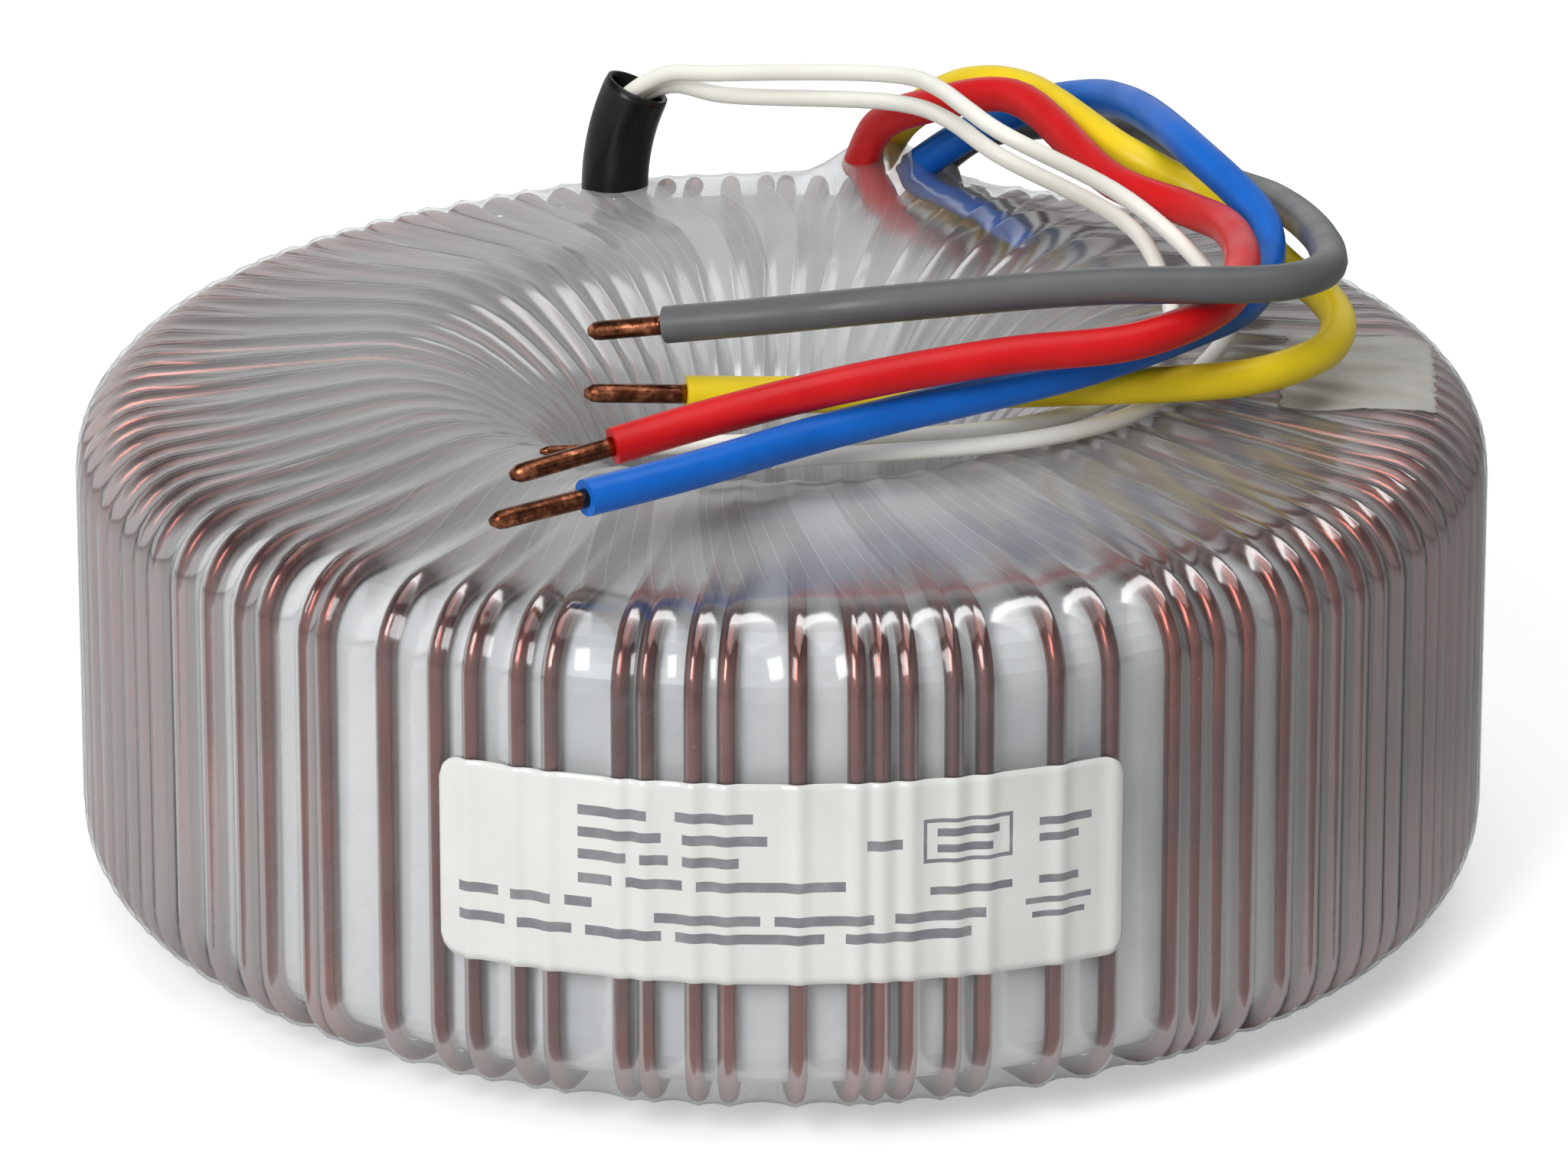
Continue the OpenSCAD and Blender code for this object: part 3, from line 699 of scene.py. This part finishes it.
# ---------------------------------------------------------------- label
# plain bars in place of the print: lower and upper edge, then the spans across, as shares of the label
LABEL_ROWS = [
    (0.80, 0.85, [(0.21, 0.31), (0.35, 0.46)]),
    (0.69, 0.74, [(0.21, 0.33), (0.36, 0.48)]),
    (0.58, 0.63, [(0.21, 0.28), (0.30, 0.34), (0.36, 0.44)]),
    (0.46, 0.51, [(0.21, 0.26), (0.28, 0.36), (0.38, 0.59)]),
    (0.34, 0.39, [(0.03, 0.09), (0.11, 0.17), (0.19, 0.23)]),
    (0.29, 0.34, [(0.32, 0.47), (0.49, 0.63), (0.66, 0.79)]),
    (0.20, 0.25, [(0.03, 0.10), (0.12, 0.20), (0.22, 0.33), (0.35, 0.56), (0.59, 0.77)]),
    (0.66, 0.71, [(0.62, 0.67)]),
    (0.58, 0.80, [(0.70, 0.705), (0.825, 0.83)]),
    (0.58, 0.60, [(0.70, 0.83)]),
    (0.78, 0.80, [(0.70, 0.83)]),
    (0.71, 0.75, [(0.72, 0.81), (0.87, 0.95)]),
    (0.63, 0.67, [(0.72, 0.80), (0.87, 0.93)]),
    (0.42, 0.46, [(0.71, 0.83), (0.87, 0.93)]),
    (0.32, 0.35, [(0.85, 0.95)]),
    (0.25, 0.28, [(0.86, 0.94)]),
]
LABEL_HALF, LABEL_H, LABEL_CORNER = 27.5, 23.5, 2.5  # half its span in degrees, height, corner radius
LABEL_OUT, LABEL_IN = 0.16, 0.03  # its two faces, out from the film's ridges
LABEL_COLS, LABEL_RISE = 240, 26
RIDGE_WIDE, RIDGE_H = 0.75, 0.42  # the film's ridges that it follows: half width in degrees, height


def label_material():
    """White paper with plain printed bars and blocks, under film."""
    m, nt = material("label_paper")
    u = node(nt, "ShaderNodeAttribute", attribute_name="across").outputs["Fac"]
    v = node(nt, "ShaderNodeAttribute", attribute_name="height").outputs["Fac"]

    def inside(lo, hi, x):
        off = calc(nt, "ABSOLUTE", calc(nt, "SUBTRACT", x, (lo + hi) / 2))
        return calc(nt, "LESS_THAN", off, (hi - lo) / 2)

    mask = None
    for lo, hi, spans in LABEL_ROWS:
        bars = None
        for u0, u1 in spans:
            k = inside(u0, u1, u)
            bars = k if bars is None else calc(nt, "ADD", bars, k)
        row = calc(nt, "MULTIPLY", bars, inside(lo, hi, v))
        mask = row if mask is None else calc(nt, "MAXIMUM", mask, row)
    worn = ramp(nt, noise(nt, 400.0, 2.0), [(0.3, grey(0.85)), (0.6, grey(1))])
    paper = ramp(nt, noise(nt, 60.0, 4.0), [(0.3, (0.66, 0.66, 0.63)), (0.7, (0.74, 0.74, 0.715))])
    printed = node(nt, "ShaderNodeMixRGB")
    nt.links.new(calc(nt, "MULTIPLY", mask, worn), printed.inputs[0])
    nt.links.new(paper, printed.inputs[1])
    printed.inputs[2].default_value = (0.17, 0.17, 0.19, 1)
    b = node(nt, "ShaderNodeBsdfPrincipled", Roughness=0.3)
    nt.links.new(printed.outputs[0], b.inputs["Base Color"])
    nt.links.new(bump(nt, noise(nt, 250.0, 3.0), 0.3, 0.0002), b.inputs["Normal"])
    b.inputs["Coat Weight"].default_value = 0.6
    b.inputs["Coat Roughness"].default_value = 0.08
    return finish_material(m, nt, b)


def ridge_radius(a):
    """How far the film stands out at angle a on the outer wall, smoothed a little."""
    best = 0.0
    for w in (WIND_A, WIND_B):
        for i in range(spots):
            d = (a - outer_a(w, i) + 180) % 360 - 180
            if abs(d) < 3:
                best = max(best, math.exp(-((d / RIDGE_WIDE) ** 2)))
    return R_wire + E_FILM - RIDGE_H * (1 - best)


def label_piece():
    """Paper with round corners that follows the film's ridges round the front."""
    nu, nv, h, rc = LABEL_COLS, LABEL_RISE, LABEL_H, LABEL_CORNER
    half_w = rad(2 * LABEL_HALF) * body_d / 4
    angs = [270 - LABEL_HALF + 2 * LABEL_HALF * k / nu for k in range(nu + 1)]
    prof = [ridge_radius(a) for a in angs]
    grid, across, height = [], [], []
    for th in (LABEL_OUT, LABEL_IN):
        for k, (a, r) in enumerate(zip(angs, prof)):
            x = abs(k / nu - 0.5) * 2 * half_w
            into_corner = x - (half_w - rc)
            cut = rc - math.sqrt(max(rc * rc - into_corner**2, 0)) if into_corner > 0 else 0.0
            for j in range(nv + 1):
                z = mid - (h / 2 - cut) + (h - 2 * cut) * j / nv
                grid.append(at(r + th, a) + np.array([0, 0, z]))
                across.append(k / nu)
                height.append((z - mid + h / 2) / h)

    def vid(k, j, s=0):
        return s * (nu + 1) * (nv + 1) + k * (nv + 1) + j

    faces = []
    for k in range(nu):
        for j in range(nv):
            faces.append((vid(k, j), vid(k + 1, j), vid(k + 1, j + 1), vid(k, j + 1)))
            faces.append((vid(k, j, 1), vid(k, j + 1, 1), vid(k + 1, j + 1, 1), vid(k + 1, j, 1)))
    for k in range(nu):
        faces.append((vid(k, 0), vid(k, 0, 1), vid(k + 1, 0, 1), vid(k + 1, 0)))
        faces.append((vid(k, nv), vid(k + 1, nv), vid(k + 1, nv, 1), vid(k, nv, 1)))
    for j in range(nv):
        faces.append((vid(0, j), vid(0, j + 1), vid(0, j + 1, 1), vid(0, j, 1)))
        faces.append((vid(nu, j), vid(nu, j, 1), vid(nu, j + 1, 1), vid(nu, j + 1)))
    obj = mesh_piece("label_look", grid, faces, label_material(), {"across": across, "height": height})
    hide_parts("label")


label_piece()

# ---------------------------------------------------------------- tape patch
TAPE_CORNERS = np.array([(56.5, -14.5), (74.5, -10.5), (75.5, 15.0), (58.5, 10.5)])
TAPE_COLS, TAPE_ROWS = 26, 34
TAPE_IN, TAPE_OUT = 0.05, 0.2  # its two faces, over the film
TAPE_SPANS = [(dx, dy) for dx in (0, 0.8) for dy in (-1.3, -0.6, 0, 0.6, 1.3)]  # it bridges these distances
FILM_TREE = BVHTree.FromPolygons([v.co for v in FILM.data.vertices], [p.vertices for p in FILM.data.polygons])


def film_height(x, y):
    """Height of the film's outside over a point."""
    return FILM_TREE.ray_cast(Vector((x * MM, y * MM, 0.1)), Vector((0, 0, -1)))[0].z / MM


def tape_material():
    """Thin yellowed tape, half seen through."""
    m, nt = material("old_tape")
    b = node(nt, "ShaderNodeBsdfPrincipled", Roughness=0.28)
    col = ramp(nt, noise(nt, 120.0, 4.0, 0.6), [(0.3, (0.60, 0.59, 0.54)), (0.7, (0.74, 0.73, 0.68))])
    nt.links.new(col, b.inputs["Base Color"])
    nt.links.new(bump(nt, noise(nt, 260.0, 3.0), 0.4, 0.0002), b.inputs["Normal"])
    return finish_material(m, nt, blend(nt, 0.5, node(nt, "ShaderNodeBsdfTransparent"), b))


def tape_piece():
    """A strip stuck over the crest at the right, lying on the film's ridges."""
    nu, nv = TAPE_COLS, TAPE_ROWS
    c = TAPE_CORNERS
    low, top = [], []
    for i in range(nu + 1):
        for j in range(nv + 1):
            a, b = i / nu, j / nv
            x, y = c[0] * (1 - a) * (1 - b) + c[1] * a * (1 - b) + c[2] * a * b + c[3] * (1 - a) * b
            x += 0.25 * math.sin(j * 1.9) * (i in (0, nu))  # wavy along both long edges
            z = max(film_height(x + dx, y + dy) - 0.35 * abs(dx) for dx, dy in TAPE_SPANS)
            low.append((x, y, z + TAPE_IN))
            top.append((x, y, z + TAPE_OUT))
    n = len(top)
    w = nv + 1
    faces = []
    for i in range(nu):
        for j in range(nv):
            q = (i * w + j, (i + 1) * w + j, (i + 1) * w + j + 1, i * w + j + 1)
            faces += [q, tuple(n + k for k in q[::-1])]
    for i in range(nu):
        faces.append((i * w, n + i * w, n + (i + 1) * w, (i + 1) * w))
        faces.append(((i + 1) * w + nv, n + (i + 1) * w + nv, n + i * w + nv, i * w + nv))
    for j in range(nv):
        faces.append((j + 1, n + j + 1, n + j, j))
        faces.append((nu * w + j, n + nu * w + j, n + nu * w + j + 1, nu * w + j + 1))
    obj = mesh_piece("tape_look", np.array(top + low), faces, tape_material())
    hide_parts("tape_patch")


tape_piece()

# ---------------------------------------------------------------- lead-ins, flat under the film
LEAD_IN_SIDES = 16
TAPERED = 9  # the last points, over which a lead-in thins out
UNDER_FILM = 0.12
FROM_EXIT = 4  # its first points stay where the lead comes out


def lead_in(name, points, mat, width, height):
    """A flattened sleeving just under the film, fading out towards the crest."""
    line = spline(points, 10)
    for p in line[FROM_EXIT:]:
        around = [film_height(p[0] + dx, p[1] + dy) for dx in (-1.5, 0, 1.5) for dy in (-1, 0, 1)]
        p[2] = min(p[2] + 3, min(around) - height / 2 - UNDER_FILM)
    line[:, 2] = np.convolve(np.pad(line[:, 2], 2, mode="edge"), [0.2] * 5, mode="valid")
    n = len(line)
    verts = []
    for k, (p, h) in enumerate(zip(line, np.gradient(line, axis=0))):
        side = unit(np.array([h[1], -h[0], 0.0]))
        left = n - 1 - k
        swell = 1
        if left < TAPERED:
            swell = 0.25 + 0.75 * math.sin(math.pi * (0.12 + 0.88 * (left / TAPERED))) ** 0.5
        for t in circle(LEAD_IN_SIDES):
            up = np.array([0, 0, height / 2 * swell * math.sin(t)])
            verts.append(p + width / 2 * swell * math.cos(t) * side + up)
    obj = mesh_piece(name, verts, loft_faces(n, LEAD_IN_SIDES), mat)


RED_IN = [(9.4, 60.6, 67.2), (10.5, 58, 66.6), (12.6, 51, 66.2), (15, 41.5, 65.9)]
BLUE_IN = [(15.8, 61.4, 66.6), (17.2, 57, 66.5), (22.6, 49, 66.3), (29, 38, 65.7)]
GREY_IN = [(18.8, 64.5, 65.2), (20.5, 58.5, 65.9), (28.1, 47.5, 66), (35.5, 35, 65.4)]
lead_in("red_lead_in", RED_IN, MAT_RED, 4.6, 2.2)
lead_in("blue_lead_in", BLUE_IN, MAT_BLUE, 4.6, 2.2)
lead_in("grey_lead_in", GREY_IN, MAT_GREY, 4.8, 2.2)

# ---------------------------------------------------------------- sealed inner pieces keep their CAD solids
SEALED = {"interwinding_film": MAT_MILKY, "primary_winding": MAT_WIRE, "core_wrap": MAT_WHITE, "core": MAT_GREY}
for name, mat in SEALED.items():
    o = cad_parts[name]
    o.data.materials.clear()
    o.data.materials.append(mat)

# ---------------------------------------------------------------- floor, world and lamps
FLOOR_HALF, FLOOR_Z = 6, -0.0002
FLOOR_WHITE, FLOOR_DIM, FLOOR_GLOW = 0.86, 0.40, 0.45


def floor_piece():
    """White floor. It glows a little for the camera alone, and is darker at the right for everything else."""
    m, nt = material("floor_white")
    b = node(nt, "ShaderNodeBsdfDiffuse")
    camera_ray = node(nt, "ShaderNodeLightPath").outputs["Is Camera Ray"]
    across = node(nt, "ShaderNodeSeparateXYZ")
    nt.links.new(node(nt, "ShaderNodeNewGeometry").outputs["Position"], across.inputs[0])
    dim = ramp(nt, across.outputs["X"], [(0.0, grey(FLOOR_WHITE)), (0.14, grey(FLOOR_DIM))])
    nt.links.new(calc(nt, "MAXIMUM", calc(nt, "MULTIPLY", camera_ray, FLOOR_WHITE), dim), b.inputs["Color"])
    em = node(nt, "ShaderNodeEmission", Color=(1, 1, 1, 1))
    nt.links.new(calc(nt, "MULTIPLY", camera_ray, FLOOR_GLOW), em.inputs["Strength"])
    add = node(nt, "ShaderNodeAddShader")
    nt.links.new(b.outputs[0], add.inputs[0])
    nt.links.new(em.outputs[0], add.inputs[1])
    finish_material(m, nt, add)
    me = bpy.data.meshes.new("floor")
    f = FLOOR_HALF
    me.from_pydata([(-f, -f, 0), (f, -f, 0), (f, f, 0), (-f, f, 0)], [], [(0, 1, 2, 3)])
    me.materials.append(m)
    floor = link(bpy.data.objects.new("floor", me))
    floor.location.z = FLOOR_Z


def sky():
    """White all round for the camera; in reflections it is darker above and at the right."""
    world = bpy.data.worlds.new("world")
    bpy.context.scene.world = world
    world.use_nodes = True
    wt = world.node_tree
    wt.nodes.clear()
    ray = node(wt, "ShaderNodeLightPath").outputs
    sep = node(wt, "ShaderNodeSeparateXYZ")
    wt.links.new(node(wt, "ShaderNodeTexCoord").outputs["Generated"], sep.inputs[0])
    side = ramp(wt, sep.outputs["X"], [(0.0, grey(1.0)), (0.8, grey(0.28))])
    low = ramp(wt, sep.outputs["Z"], [(0.35, grey(1.0)), (0.78, grey(0.12))])
    glossy = calc(wt, "MULTIPLY", ray["Is Glossy Ray"], calc(wt, "MULTIPLY", low, side))
    seen = calc(wt, "MAXIMUM", ray["Is Camera Ray"], ray["Is Transmission Ray"])
    seen = calc(wt, "MAXIMUM", seen, glossy)
    soft = calc(wt, "MULTIPLY", ray["Is Diffuse Ray"], calc(wt, "MULTIPLY", side, 0.28))
    bg = node(wt, "ShaderNodeBackground", Color=(1, 1, 1, 1))
    wt.links.new(calc(wt, "MAXIMUM", soft, seen), bg.inputs["Strength"])
    wt.links.new(bg.outputs[0], node(wt, "ShaderNodeOutputWorld").inputs["Surface"])


def area(name, loc, aim, size, power):
    """A rectangular lamp at loc, turned to aim."""
    d = bpy.data.lights.new(name, "AREA")
    d.shape, d.size, d.size_y, d.energy = "RECTANGLE", size[0], size[1], power
    o = link(bpy.data.objects.new(name, d))
    o.location = loc
    v = np.array(aim, float) - np.array(loc, float)
    o.rotation_euler = Vector(v).to_track_quat("-Z", "Y").to_euler()


floor_piece()
sky()
area("key", (-0.45, -0.95, 0.74), (0, 0, 0.03), (0.45, 0.6), 9.8)
area("top", (0.2, -0.1, 1.2), (0, 0, 0.05), (1.2, 0.9), 7.5)
area("fill", (0.9, -0.6, 0.5), (0, 0, 0.03), (0.2, 0.7), 0.15)

bpy.context.scene.view_settings.view_transform = "Standard"
